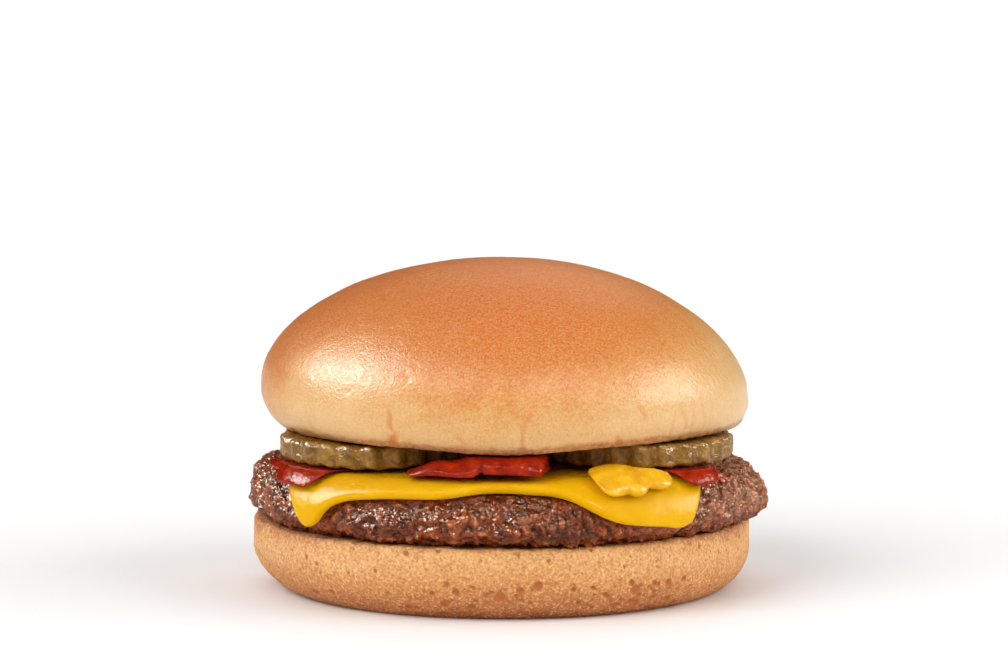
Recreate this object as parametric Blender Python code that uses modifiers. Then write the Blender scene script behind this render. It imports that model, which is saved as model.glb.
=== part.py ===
"""A cheeseburger in a round white bun: heel, patty, cheese slice, ketchup, mustard, pickle slices and crown.

Metres, +Z up. The burger stands on z = 0 on the middle of its heel, and its front is at -Y.
"""

import math

import bmesh
import bpy
from mathutils import Vector, noise

MM = 0.001
GAP = 0.3 * MM  # kept between pieces that lie on each other

# Bun, lower half
HEEL_RADIUS = 50.4 * MM
HEEL_FOOT_RADIUS = 43.4 * MM
HEEL_HEIGHT = 14.6 * MM
HEEL_CORNER = 9.0 * MM  # height of the round edge above the foot
HEEL_LIP = 1.2 * MM
HEEL_FOOT_SHIFT = 0.6 * MM  # the foot stands a little to the right

# Patty: a flat round whose rim bulges to its waist and draws in again below
PATTY_RADIUS = 52.0 * MM
PATTY_FLAT_RADIUS = 47.0 * MM
PATTY_FOOT_RADIUS = 47.5 * MM
PATTY_X = 1.1 * MM
PATTY_BOTTOM = HEEL_HEIGHT + GAP
PATTY_WAIST = 18.7 * MM
PATTY_TOP = 25.0 * MM
PATTY_CRAG = 1.0 * MM
PATTY_PRESSED = 0.4 * MM  # how far the cheese sinks into the rim where it bends over

# Cheese: one square slice, sized and placed as it would lie flat, then softened over the rim
CHEESE_THICKNESS = 2.3 * MM
CHEESE_HALF_WIDTH = 39.9 * MM
CHEESE_HALF_DEPTH = 42.5 * MM
CHEESE_CENTRE = (-2.7 * MM, -4.5 * MM)
CHEESE_ROUND_LEFT = 0.11  # radius of the corners, as a share of the half side
CHEESE_ROUND_RIGHT = 0.08
# Swells of the front edge: x, width and how far it has crept forward there, in mm
CHEESE_CREEP = ((-37, 11.5, -6.8), (-11, 9, 2.4), (4, 6, 1.2), (19.5, 9.5, 3.3), (40, 9, -3.4))

# Pickles: thick round slices with a ribbed skin
PICKLE_THICKNESS = 4.4 * MM
PICKLE_RIBS = 24
PICKLE_RIB_DEPTH = 0.4 * MM
PICKLE_BOTTOM = 28.7 * MM
PICKLE_DROOP = 0.4 * MM  # sag of the left pickle's front rim
PICKLES = {
    "pickle_front_left": (-25.2 * MM, -18.5 * MM, 19.0 * MM),
    "pickle_front_right": (26.7 * MM, -18.5 * MM, 19.4 * MM),
    "pickle_back_left": (-20.0 * MM, 22.5 * MM, 17.5 * MM),
    "pickle_back_right": (22.5 * MM, 20.5 * MM, 17.8 * MM),
}

# Bun, upper half
CROWN_X = 0.3 * MM
CROWN_RADIUS = 49.35 * MM
CROWN_CUT_RADIUS = 46.7 * MM
CROWN_BOTTOM = 33.4 * MM
CROWN_WAIST = 40.4 * MM
CROWN_TOP = 66.4 * MM
CROWN_POWER = 1.85  # below 2, the dome is a little more pointed than an ellipse
CROWN_LEAN = 0.03  # the left shoulder stands higher than the right one
# height, sideways shift of the dome at that height
CROWN_SHIFT = (
    (33.0 * MM, 1.2 * MM),
    (36.0 * MM, 0.7 * MM),
    (40.4 * MM, 0.0),
    (47.0 * MM, -0.5 * MM),
    (54.0 * MM, -0.5 * MM),
    (60.0 * MM, 0.0),
    (67.0 * MM, 1.2 * MM),
)

# Ketchup: a thin film between cheese and pickles that swells where it was squeezed out
KETCHUP_FILM = 0.5 * MM
KETCHUP_REACH = 33.5 * MM
# direction, half width and width of the flank in degrees, and reach in mm, of each lobe
KETCHUP_LOBES = (
    (-89, 15, 9, 48.2), (-105, 18, 11, 48.8), (-142, 22, 18, 52.0), (-151, 19, 15, 50.4), (-168, 22, 18, 44.5),
    (-43.5, 17, 14, 51.4), (-32, 14, 12, 46.5), (27, 18, 15, 47.5), (92, 15, 12, 40.6), (157, 21, 16, 48.0),
)
# x, y, radius and height of each swell in mm
KETCHUP_SWELLS = (
    (-13.5, -45.5, 4.2, 3.0), (-5.5, -44.5, 4.0, 5.5), (0.5, -44.5, 5.0, 6.5), (6.0, -43.0, 4.0, 5.5),
    (-40.0, -31.0, 6.0, 1.8), (-43.0, -15.0, 5.5, 1.2), (36.5, -34.0, 5.5, 2.0), (40.0, -20.0, 5.0, 1.2),
    (-1.5, 38.5, 6.0, 4.8), (-43.5, 18.0, 6.5, 1.9), (43.0, 21.0, 6.5, 2.2),
)

# Mustard: one thick spill over the right of the cheese's front edge
MUSTARD_FILM = 0.9 * MM
MUSTARD_REACH = 3.9 * MM
MUSTARD_CENTRE = (22.3 * MM, -42.0 * MM)
MUSTARD_LOBES = ((27, 48, 40, 8.6), (-150, 62, 50, 7.2))
MUSTARD_SWELLS = ((21.8, -43.2, 4.6, 0.9), (27.9, -40.0, 2.6, 0.7))


# Small helpers


def smooth(t):
    """0 below 0, 1 above 1, and an S between them."""
    t = min(max(t, 0.0), 1.0)
    return t * t * (3.0 - 2.0 * t)


def mix(a, b, t):
    return a + (b - a) * t


def bump(angle, centre, width):
    """A bell of height 1 round centre, all three in radians."""
    away = (angle - centre + math.pi) % (2.0 * math.pi) - math.pi
    return math.exp(-((away / width) ** 2))


def ripple(x, y, z, size, seed):
    """Smooth noise from -1 to 1, with swells about size across."""
    return noise.noise(Vector((x / size + seed, y / size + 2.7 * seed, z / size - seed)))


def between(table, at):
    """The value of a table of (place, value) rows at a place, joined smoothly."""
    for (a, start), (b, end) in zip(table, table[1:]):
        if at <= b:
            return mix(start, end, smooth((at - a) / (b - a)))
    return table[-1][1]


def arc_points(centre, radii, start, end, count):
    """count + 1 points of an elliptic arc, angles in degrees."""
    turns = [math.radians(mix(start, end, i / count)) for i in range(count + 1)]
    return [(centre[0] + radii[0] * math.cos(t), centre[1] + radii[1] * math.sin(t)) for t in turns]


def along(start, end, count):
    """count points from start on, end left out."""
    return [(mix(start[0], end[0], i / count), mix(start[1], end[1], i / count)) for i in range(count)]


def material(name, colour, roughness):
    made = bpy.data.materials.new(name)
    made.use_nodes = True
    shader = made.node_tree.nodes["Principled BSDF"]
    shader.inputs["Base Color"].default_value = (*colour, 1.0)
    shader.inputs["Roughness"].default_value = roughness
    shader.inputs["Metallic"].default_value = 0.0
    return made


def add(name, mesh, finish, collection):
    obj = bpy.data.objects.new(name, mesh)
    obj.data.materials.append(finish)
    collection.objects.link(obj)
    return obj


def turned(name, profile, steps, finish, collection):
    """A profile of (radius, height) points, top to bottom, turned once about Z by a Screw modifier."""
    mesh = bpy.data.meshes.new(name)
    edges = [(i, i + 1) for i in range(len(profile) - 1)]
    mesh.from_pydata([(radius, 0.0, height) for radius, height in profile], edges, [])
    obj = add(name, mesh, finish, collection)
    screw = obj.modifiers.new("turn", "SCREW")
    screw.axis = "Z"
    screw.steps = steps
    screw.render_steps = steps
    screw.use_merge_vertices = True
    screw.merge_threshold = 0.00001
    screw.use_smooth_shade = True
    return obj


def reshape(obj, move):
    """Applies the modifiers and puts each vertex where move says."""
    bpy.context.view_layer.update()
    graph = bpy.context.evaluated_depsgraph_get()
    mesh = bpy.data.meshes.new_from_object(obj.evaluated_get(graph))
    obj.modifiers.clear()
    obj.data = mesh
    for vertex in mesh.vertices:
        vertex.co = move(vertex.co.copy())
    mesh.update()
    mesh.shade_smooth()
    return obj


def ball(name, segments, rings, finish, collection):
    """A unit sphere, the start of each poured piece."""
    mesh = bpy.data.meshes.new(name)
    work = bmesh.new()
    bmesh.ops.create_uvsphere(work, u_segments=segments, v_segments=rings, radius=1.0)
    work.to_mesh(mesh)
    work.free()
    return add(name, mesh, finish, collection)


# Forms shared by the layers


def patty_flat(angle):
    """Radius at which the top face turns into the rim: softer at the front right, square at the left."""
    soft = 2.2 * MM * bump(angle, math.radians(-65.0), math.radians(18.0))
    soft += 1.6 * MM * bump(angle, 0.0, math.radians(30.0))
    square = 1.8 * MM * bump(angle, math.radians(180.0), math.radians(22.0))
    return PATTY_FLAT_RADIUS - soft + square


def patty_wide(angle):
    """Radius at the waist."""
    left = 0.4 * MM * bump(angle, math.radians(180.0), math.radians(40.0))
    return PATTY_RADIUS - left + 0.5 * MM * ripple(math.cos(angle), math.sin(angle), 0.0, 0.55, 4.0)


def wave(x, y):
    """How much the patty's top face, and what lies on it, rises or falls."""
    left = bump(math.atan2(y, x), math.radians(180.0), math.radians(20.0))
    rise = 1.3 * MM * left * smooth((math.hypot(x, y) - 44.5 * MM) / (6.0 * MM))
    return 0.3 * MM * ripple(x, y, 0.0, 17.0 * MM, 1.3) + rise


def rim_bend(across, down):
    """Length of a quarter of an ellipse, by Ramanujan's formula."""
    root = math.sqrt((3.0 * across + down) * (across + 3.0 * down))
    return math.pi / 4.0 * (3.0 * (across + down) - root)


def drape(x, y, lift):
    """Lays the point (x, y) of a flat sheet, lift above its underside, over the patty's top and rim."""
    reach, angle = math.hypot(x, y), math.atan2(y, x)
    flat = patty_flat(angle)
    across, down = patty_wide(angle) - flat, PATTY_TOP - PATTY_WAIST
    bend = rim_bend(across, down)
    turn = min(max((reach - flat) / bend, 0.0), 1.0) * math.pi / 2.0
    radius = min(reach, flat) + across * math.sin(turn)
    height = PATTY_TOP - down * (1.0 - math.cos(turn)) - max(reach - flat - bend, 0.0)
    slope = math.hypot(math.sin(turn) / across, math.cos(turn) / down)
    radius += lift * math.sin(turn) / across / slope
    height += lift * math.cos(turn) / down / slope
    return Vector(
        (PATTY_X + radius * math.cos(angle), radius * math.sin(angle), height + wave(x, y))
    )


def cheese_creep(x):
    """How far the slice's front edge has crept forward at x."""
    return sum(creep * MM * math.exp(-(((x / MM - at) / width) ** 2)) for at, width, creep in CHEESE_CREEP)


def rounded(u, v):
    """The point of a square grid from -1 to 1, moved so that the square's corners follow arcs."""
    major, minor = max(abs(u), abs(v)), min(abs(u), abs(v))
    radius = CHEESE_ROUND_LEFT if u < 0.0 else CHEESE_ROUND_RIGHT
    past = minor - major * (1.0 - radius)
    if past <= 0.0:
        return u, v
    turn = past / (major * radius) * math.pi / 4.0
    far = major * (1.0 - radius + radius * math.cos(turn))
    near = major * (1.0 - radius + radius * math.sin(turn))
    size = (far, near) if abs(u) >= abs(v) else (near, far)
    return math.copysign(size[0], u), math.copysign(size[1], v)


def inside_slice(x, y):
    """How far the flat point is inside the cheese slice's edge, negative outside it."""
    side = CHEESE_HALF_WIDTH - abs(x - CHEESE_CENTRE[0])
    front = CHEESE_HALF_DEPTH + cheese_creep(x) + y - CHEESE_CENTRE[1]
    back = CHEESE_HALF_DEPTH - y + CHEESE_CENTRE[1]
    return min(side, front, back)


def cheese_lift(x, y):
    """Height of the sauces' underside above the patty: on the slice, or off its edge."""
    reach, angle = math.hypot(x, y), math.atan2(y, x)
    bend = smooth((reach - patty_flat(angle) + 5.0 * MM) / (4.0 * MM))
    on_slice = CHEESE_THICKNESS + (2.4 + 2.2 * bend) * GAP
    return mix(2.0 * GAP, on_slice, smooth((inside_slice(x, y) + 6.0 * MM) / (3.5 * MM)))


def lobed(angle, base, lobes):
    """Reach of an outline that runs out into rounded lobes."""
    reach = base
    for direction, width, flank, tip in lobes:
        away = abs((math.degrees(angle) - direction + 180.0) % 360.0 - 180.0)
        reach = max(reach, mix(base, tip * MM, smooth((width - away) / flank)))
    return reach


def crown_bottom(x, y):
    """Height of the crown's cut face, whose rim sags between the front pickles."""
    radius, angle = math.hypot(x, y), math.atan2(y, x)
    sag = 0.9 * MM * bump(angle, math.radians(-91.0), math.radians(16.0))
    sag += 0.5 * MM * bump(angle, math.radians(93.0), math.radians(14.0))
    lift = 0.3 * MM * bump(angle, math.radians(-40.0), math.radians(25.0))
    return CROWN_BOTTOM + (lift - sag) * smooth((radius - 34.0 * MM) / (10.0 * MM))


def pickle_clearance(x, y):
    """Distance from the point to the nearest pickle's skin, negative under a pickle."""
    return min(math.hypot(x - px, y - py) - radius for px, py, radius in PICKLES.values())


def pickle_droop(x, y):
    """How far a pickle's rim sags at the front left."""
    front = bump(math.atan2(y, x), math.radians(-122.0), math.radians(16.0))
    return PICKLE_DROOP * front * smooth((math.hypot(x, y) - 38.0 * MM) / (6.0 * MM))


def openness(x, y):
    """0 where a pickle lies over the point, 1 well away from all pickles."""
    return smooth((pickle_clearance(x, y) - 2.9 * MM) / (3.0 * MM))


def held_down(x, y, height, under):
    """Holds a height under a pickle, or under the crown, where the top rounds off below it."""
    free = openness(x, y)
    limit = mix(PICKLE_BOTTOM - pickle_droop(x, y), crown_bottom(x, y), free) - GAP - under
    soft = mix(0.02, 1.3, free) * MM
    over = height - (limit - soft)
    return height if over <= 0.0 else limit - soft * math.exp(-over / soft)


# Pieces


def heel(finish, collection):
    turns = [math.radians(i * 18.0) for i in range(6)]
    wide = HEEL_RADIUS - HEEL_FOOT_RADIUS
    corner = [
        (HEEL_FOOT_RADIUS + wide * math.cos(t) ** 1.5, HEEL_CORNER * (1.0 - math.sin(t))) for t in turns[:-1]
    ]
    corner.append((HEEL_FOOT_RADIUS, 0.0))
    lip_centre = (HEEL_RADIUS - HEEL_LIP, HEEL_HEIGHT - HEEL_LIP)
    lip = arc_points(lip_centre, (HEEL_LIP, HEEL_LIP), 90, 0, 2)
    profile = along((0.0, HEEL_HEIGHT), lip[0], 3) + lip + along(lip[-1], corner[0], 2)[1:] + corner
    profile += along((HEEL_FOOT_RADIUS, 0.0), (0.0, 0.0), 2)[1:] + [(0.0, 0.0)]

    def move(p):
        share = min(math.hypot(p.x, p.y) / HEEL_RADIUS, 1.0)
        swell = 0.010 * ripple(p.x, p.y, p.z, 24.0 * MM, 2.0) * share
        fall = 0.3 * MM * abs(ripple(p.x, p.y, 0.0, 9.0 * MM, 5.0)) if p.z > HEEL_HEIGHT - 0.1 * MM else 0.0
        shift = HEEL_FOOT_SHIFT * (1.0 - smooth(p.z / HEEL_CORNER)) * share
        return Vector((p.x * (1.0 + swell) + shift, p.y * (1.0 + swell), p.z - fall))

    return reshape(turned("heel", profile, 60, finish, collection), move)


def patty(finish, collection):
    across, down = PATTY_RADIUS - PATTY_FLAT_RADIUS, PATTY_TOP - PATTY_WAIST
    upper = arc_points((PATTY_FLAT_RADIUS, PATTY_WAIST), (across, down), 90, 0, 4)
    low = (PATTY_RADIUS - PATTY_FOOT_RADIUS, PATTY_WAIST - PATTY_BOTTOM)
    lower = arc_points((PATTY_FOOT_RADIUS, PATTY_WAIST), low, 0, -90, 3)[1:]
    inner = (PATTY_FLAT_RADIUS - 5.0 * MM, PATTY_TOP)
    profile = along((0.0, PATTY_TOP), inner, 3) + along(inner, upper[0], 2) + upper + lower
    profile += along((PATTY_FOOT_RADIUS, PATTY_BOTTOM), (0.0, PATTY_BOTTOM), 2)[1:]
    profile.append((0.0, PATTY_BOTTOM))

    def move(p):
        radius, angle = math.hypot(p.x, p.y), math.atan2(p.y, p.x)
        flat, wide = patty_flat(angle), patty_wide(angle)
        if p.z < PATTY_WAIST:
            radius *= wide / PATTY_RADIUS
            return Vector((PATTY_X + radius * math.cos(angle), radius * math.sin(angle), p.z))
        if radius <= PATTY_FLAT_RADIUS:
            reach = radius * flat / PATTY_FLAT_RADIUS
        else:
            turn = math.asin(min((radius - PATTY_FLAT_RADIUS) / across, 1.0))
            reach = flat + rim_bend(wide - flat, down) * turn / (math.pi / 2.0)
        return drape(reach * math.cos(angle), reach * math.sin(angle), 0.0)

    obj = reshape(turned("patty", profile, 112, finish, collection), move)
    normals = [vertex.normal.copy() for vertex in obj.data.vertices]
    for vertex, normal in zip(obj.data.vertices, normals):
        vertex.co += normal * patty_crag(vertex.co, normal)
    return obj


def patty_crag(p, normal):
    """Depth of the crumbled meat's relief: deep on the bare rim, slight on top, none where it is pressed."""
    if p.z < PATTY_BOTTOM + 0.2 * MM:
        return 0.0
    lump = ripple(p.x, p.y, p.z, 5.2 * MM, 7.0) + 0.6 * ripple(p.x, p.y, p.z, 2.6 * MM, 9.0)
    bare = smooth((1.0 - normal.z) / 0.6)
    depth = mix(0.15, 1.0, bare) * PATTY_CRAG * lump
    angle = math.atan2(p.y, p.x - PATTY_X)
    flat, down = patty_flat(angle), PATTY_TOP - PATTY_WAIST
    fall = min(max((PATTY_TOP - p.z) / down, 0.0), 1.0)
    reach = math.hypot(p.x - PATTY_X, p.y)
    if reach > flat:
        reach = flat + rim_bend(patty_wide(angle) - flat, down) * math.acos(1.0 - fall) / (math.pi / 2.0)
    pressed = smooth((inside_slice(reach * math.cos(angle), reach * math.sin(angle)) + 4.0 * MM) / (2.0 * MM))
    return mix(depth, min(depth, 0.0) * 0.5 - PATTY_PRESSED * bare, pressed)


def diagonal(face):
    """The vertices to split a square face between: level with the rim, but through a corner of the sheet."""
    a, b, c, d = face.verts
    for vertex in (a, b, c, d):
        if len(vertex.link_edges) == 2:
            return (a, c) if vertex in (a, c) else (b, d)
    level = abs(a.co.length - c.co.length) < abs(b.co.length - d.co.length)
    return (a, c) if level else (b, d)


def cheese(finish, collection):
    """A flat square grid, denser at its edges, solidified and bevelled, then laid over the patty."""
    mesh = bpy.data.meshes.new("cheese")
    work = bmesh.new()
    bmesh.ops.create_grid(work, x_segments=22, y_segments=22, size=1.0)
    for vertex in work.verts:
        u, v = (math.copysign(1.0 - (1.0 - abs(k)) ** 1.5, k) for k in vertex.co.xy)
        front = smooth(-v) * v
        u, v = rounded(u, v)
        x, y = u * CHEESE_HALF_WIDTH, v * CHEESE_HALF_DEPTH
        vertex.co = Vector((x, y + front * cheese_creep(x + CHEESE_CENTRE[0]), 0.0))
    for face in list(work.faces):
        bmesh.utils.face_split(face, *diagonal(face))
    work.to_mesh(mesh)
    work.free()
    obj = add("cheese", mesh, finish, collection)
    solidify = obj.modifiers.new("thickness", "SOLIDIFY")
    solidify.thickness = CHEESE_THICKNESS
    solidify.offset = 1.0
    bevel = obj.modifiers.new("edge", "BEVEL")
    bevel.width = 0.7 * MM
    bevel.segments = 1
    bevel.limit_method = "ANGLE"
    bevel.angle_limit = math.radians(60.0)

    def move(p):
        return drape(CHEESE_CENTRE[0] + p.x, CHEESE_CENTRE[1] + p.y, GAP + p.z)

    return reshape(obj, move)


def sauce(obj, centre, reach_at, film, swells):
    """Spreads a unit sphere to a puddle of the given outline and swells on the cheese and patty."""

    def thickness_at(x, y):
        thickness = film
        for sx, sy, radius, height in swells:
            away = math.hypot(x - sx * MM, y - sy * MM) / (radius * MM)
            thickness += height * MM * math.exp(-(away**2))
        return thickness

    def move(p):
        share, angle = min(math.hypot(p.x, p.y), 1.0) ** 0.65, math.atan2(p.y, p.x)
        reach = reach_at(angle) * share
        x, y = centre[0] + reach * math.cos(angle), centre[1] + reach * math.sin(angle)
        rise = 0.25 + 0.75 * math.sqrt(p.z) if p.z > 0.0 else 0.25 * (1.0 + p.z) ** 5
        placed = drape(x, y, cheese_lift(x, y) + thickness_at(x, y) * rise)
        placed.z = held_down(placed.x, placed.y, placed.z, 0.25 * MM * (1.0 - rise))
        return placed

    return reshape(obj, move)


def ketchup(finish, collection):
    def reach_at(angle):
        return lobed(angle, KETCHUP_REACH, KETCHUP_LOBES)

    obj = ball("ketchup", 66, 18, finish, collection)
    return sauce(obj, (0.0, 0.0), reach_at, KETCHUP_FILM, KETCHUP_SWELLS)


def mustard(finish, collection):
    def reach_at(angle):
        return lobed(angle, MUSTARD_REACH, MUSTARD_LOBES)

    obj = ball("mustard", 26, 12, finish, collection)
    return sauce(obj, MUSTARD_CENTRE, reach_at, MUSTARD_FILM, MUSTARD_SWELLS)


def pickle(name, x, y, radius, finish, collection):
    top, bottom, edge = PICKLE_THICKNESS, 0.0, 0.7 * MM
    profile = [
        (0.0, top),
        (radius - edge, top),
        (radius, top - edge),
        (radius, bottom + edge),
        (radius - edge, bottom),
        (0.0, bottom),
    ]

    def move(p):
        reach, angle = math.hypot(p.x, p.y), math.atan2(p.y, p.x)
        outer = smooth((reach / radius - 0.9) / 0.08)
        rib = PICKLE_RIB_DEPTH * (math.cos(PICKLE_RIBS * angle) - 1.0)
        reach += outer * (rib + 0.4 * MM * ripple(p.x, p.y, x, 12.0 * MM, 6.0))
        px, py = x + reach * math.cos(angle), y + reach * math.sin(angle)
        return Vector((px, py, PICKLE_BOTTOM + p.z - pickle_droop(px, py)))

    return reshape(turned(name, profile, 3 * PICKLE_RIBS, finish, collection), move)


def crown(finish, collection):
    rise, over = CROWN_TOP - CROWN_WAIST, CROWN_RADIUS - CROWN_CUT_RADIUS
    dome = []
    for i in range(10):
        level = math.cos(math.pi / 2.0 * i / 9)
        radius = CROWN_RADIUS * math.sqrt(max(1.0 - level**CROWN_POWER, 0.0))
        dome.append((radius, CROWN_WAIST + rise * level))
    under = []
    for i in range(1, 5):
        down = i / 4
        under.append((CROWN_RADIUS - over * down**2.5, mix(CROWN_WAIST, CROWN_BOTTOM, down)))
    profile = dome + under + along((CROWN_CUT_RADIUS, CROWN_BOTTOM), (0.0, CROWN_BOTTOM), 3)[1:]
    profile.append((0.0, CROWN_BOTTOM))

    def move(p):
        share = min(math.hypot(p.x, p.y) / CROWN_RADIUS, 1.0)
        above = (p.z - CROWN_BOTTOM) / (CROWN_TOP - CROWN_BOTTOM)
        lean = -CROWN_LEAN * (p.x / CROWN_RADIUS) * smooth(above * 1.6)
        height = CROWN_BOTTOM + (p.z - CROWN_BOTTOM) * (1.0 + lean)
        height += (crown_bottom(p.x, p.y) - CROWN_BOTTOM) * (1.0 - smooth(above * 4.0))
        swell = 0.008 * ripple(p.x, p.y, p.z, 30.0 * MM, 8.0) * share
        shift = CROWN_X + between(CROWN_SHIFT, height)
        return Vector((shift + p.x * (1.0 + swell), p.y * (1.0 + swell), height))

    return reshape(turned("crown", profile, 64, finish, collection), move)


def main():
    for obj in list(bpy.data.objects):
        bpy.data.objects.remove(obj)
    collection = bpy.data.collections.new("cheeseburger")
    bpy.context.scene.collection.children.link(collection)
    heel(material("heel crust", (0.66, 0.38, 0.18), 0.7), collection)
    patty(material("seared beef", (0.13, 0.05, 0.03), 0.4), collection)
    cheese(material("melted cheese", (0.90, 0.53, 0.02), 0.3), collection)
    ketchup(material("ketchup", (0.40, 0.03, 0.01), 0.2), collection)
    mustard(material("mustard", (0.78, 0.46, 0.03), 0.3), collection)
    skin = material("pickle", (0.27, 0.22, 0.04), 0.3)
    for name, (x, y, radius) in PICKLES.items():
        pickle(name, x, y, radius, skin, collection)
    crown(material("crown crust", (0.70, 0.33, 0.11), 0.4), collection)


main()
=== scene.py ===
import math

import bpy
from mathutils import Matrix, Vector, noise


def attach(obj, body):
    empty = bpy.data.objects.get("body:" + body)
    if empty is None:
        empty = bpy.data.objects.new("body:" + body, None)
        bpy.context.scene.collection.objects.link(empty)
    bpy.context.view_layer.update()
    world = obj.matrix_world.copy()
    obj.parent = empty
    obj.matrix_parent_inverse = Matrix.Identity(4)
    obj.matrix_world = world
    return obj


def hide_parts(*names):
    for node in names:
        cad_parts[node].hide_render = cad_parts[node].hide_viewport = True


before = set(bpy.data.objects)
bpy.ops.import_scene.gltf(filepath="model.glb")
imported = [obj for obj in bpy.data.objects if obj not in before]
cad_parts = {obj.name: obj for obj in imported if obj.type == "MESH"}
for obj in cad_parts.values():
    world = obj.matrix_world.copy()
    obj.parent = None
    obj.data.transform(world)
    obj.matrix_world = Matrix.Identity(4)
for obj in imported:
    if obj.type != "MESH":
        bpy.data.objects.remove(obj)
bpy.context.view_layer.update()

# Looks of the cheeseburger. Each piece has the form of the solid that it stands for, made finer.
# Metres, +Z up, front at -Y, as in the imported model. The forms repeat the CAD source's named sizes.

MM = 0.001
GAP = 0.3 * MM

HEEL_RADIUS = 50.4 * MM
HEEL_FOOT_RADIUS = 43.4 * MM
HEEL_HEIGHT = 14.6 * MM
HEEL_CORNER = 9.0 * MM
HEEL_LIP = 1.2 * MM
HEEL_FOOT_SHIFT = 0.6 * MM
HEEL_STEPS = 860
HEEL_CORNER_STEPS = 20
# Pores of the heel's crumb: size of the cells that hold one each, seed, radius and depth
HEEL_PORES = (
    (3.0 * MM, 1.7, 1.30 * MM, 0.50 * MM),
    (1.8 * MM, 4.1, 0.75 * MM, 0.34 * MM),
    (1.1 * MM, 7.7, 0.46 * MM, 0.24 * MM),
)

PATTY_RADIUS = 52.0 * MM
PATTY_FLAT_RADIUS = 47.0 * MM
PATTY_FOOT_RADIUS = 47.5 * MM
PATTY_X = 1.1 * MM
PATTY_BOTTOM = HEEL_HEIGHT + GAP
PATTY_WAIST = 18.7 * MM
PATTY_TOP = 25.0 * MM
PATTY_CRAG = 1.0 * MM
PATTY_PRESSED = 0.4 * MM
PATTY_STEPS = 1150
# Grain of the meat: size of its waves in mm, seed and share of the height
PATTY_GRAIN = ((3.2, 2.0, 0.9), (1.7, 5.0, 0.85), (0.95, 8.0, 0.65), (0.6, 12.0, 0.35))

CHEESE_THICKNESS = 2.3 * MM
CHEESE_HALF_WIDTH = 39.9 * MM
CHEESE_HALF_DEPTH = 42.5 * MM
CHEESE_CENTRE = (-2.7 * MM, -4.5 * MM)
CHEESE_ROUND_LEFT = 0.11
CHEESE_ROUND_RIGHT = 0.08
CHEESE_EDGE = 1.0 * MM
CHEESE_STEPS = 130
CHEESE_EDGE_STEPS = 14
# How far the front edge creeps forwards: place along X, width and creep, in mm
CHEESE_CREEP = ((-37, 11.5, -6.8), (-11, 9, 2.4), (4, 6, 1.2), (19.5, 9.5, 3.3), (40, 9, -3.4))

PICKLE_THICKNESS = 4.4 * MM
PICKLE_RIBS = 24
PICKLE_RIB_DEPTH = 0.4 * MM
PICKLE_BOTTOM = 28.7 * MM
PICKLE_DROOP = 0.4 * MM
PICKLE_EDGE = 0.9 * MM
PICKLE_STEPS_A_RIB = 15
# Middle and radius of each slice
PICKLES = {
    "pickle_front_left": (-25.2 * MM, -18.5 * MM, 19.0 * MM),
    "pickle_front_right": (26.7 * MM, -18.5 * MM, 19.4 * MM),
    "pickle_back_left": (-20.0 * MM, 22.5 * MM, 17.5 * MM),
    "pickle_back_right": (22.5 * MM, 20.5 * MM, 17.8 * MM),
}

CROWN_X = 0.3 * MM
CROWN_RADIUS = 49.35 * MM
CROWN_CUT_RADIUS = 46.7 * MM
CROWN_BOTTOM = 33.4 * MM
CROWN_WAIST = 40.4 * MM
CROWN_TOP = 66.4 * MM
CROWN_POWER = 1.85
CROWN_LEAN = 0.03
CROWN_STEPS = 740
CROWN_DOME_STEPS = 80
CROWN_UNDER_STEPS = 16
# How far the crown is shifted along X at each height
CROWN_SHIFT = (
    (33.0 * MM, 1.2 * MM),
    (36.0 * MM, 0.7 * MM),
    (40.4 * MM, 0.0),
    (47.0 * MM, -0.5 * MM),
    (54.0 * MM, -0.5 * MM),
    (60.0 * MM, 0.0),
    (67.0 * MM, 1.2 * MM),
)
# Creases of the crust: direction in degrees, heights of both ends, depth and width in mm, slant in degrees.
# A depth below 0 is a ridge.
CROWN_CREASES = (
    (-115.4, 36.5, 41.6, 0.40, 0.42, -1.8),
    (-116.6, 33.0, 36.4, 0.50, 0.95, 0.9),
    (-112.9, 46.6, 48.0, 0.30, 0.40, -0.3),
    (-111.6, 42.0, 44.6, 0.16, 0.40, 0.9),
    (-85.5, 33.6, 42.2, 0.26, 0.42, 1.9),
    (-84.4, 34.0, 41.6, -0.16, 0.40, 1.8),
    (-99.0, 34.0, 37.6, 0.14, 0.50, -0.8),
    (-56.2, 38.0, 42.4, 0.20, 0.42, -1.2),
    (-62.5, 33.4, 36.0, 0.30, 0.60, 0.5),
    (-46.8, 34.5, 40.0, 0.13, 0.42, -0.9),
    (-43.6, 35.0, 41.0, 0.14, 0.42, -0.7),
    (-40.2, 35.0, 41.5, 0.13, 0.42, -0.9),
    (-36.6, 35.5, 42.0, 0.13, 0.42, -0.6),
    (-33.4, 36.0, 42.0, 0.12, 0.42, -0.6),
    (-141.0, 35.0, 38.0, 0.14, 0.50, -0.6),
    (-128.0, 43.4, 45.0, 0.16, 0.60, 0.6),
    (16.0, 34.0, 42.0, 0.24, 0.50, 1.0),
    (21.0, 36.0, 43.0, 0.14, 0.42, 0.8),
    (48.0, 34.0, 45.0, 0.30, 0.55, -1.6),
    (66.0, 42.0, 45.0, 0.18, 0.50, 0.7),
    (81.0, 34.0, 40.0, 0.20, 0.50, 0.8),
    (104.0, 35.0, 43.0, 0.32, 0.50, 1.8),
    (121.0, 34.0, 38.0, 0.18, 0.50, -0.6),
    (137.0, 34.0, 41.0, 0.22, 0.50, -1.0),
    (166.0, 34.0, 43.0, 0.26, 0.50, 1.2),
    (-170.0, 35.0, 41.0, 0.15, 0.45, -0.7),
)

KETCHUP_FILM = 0.5 * MM
KETCHUP_REACH = 33.5 * MM
KETCHUP_SEGMENTS, KETCHUP_RINGS = 420, 90
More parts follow.
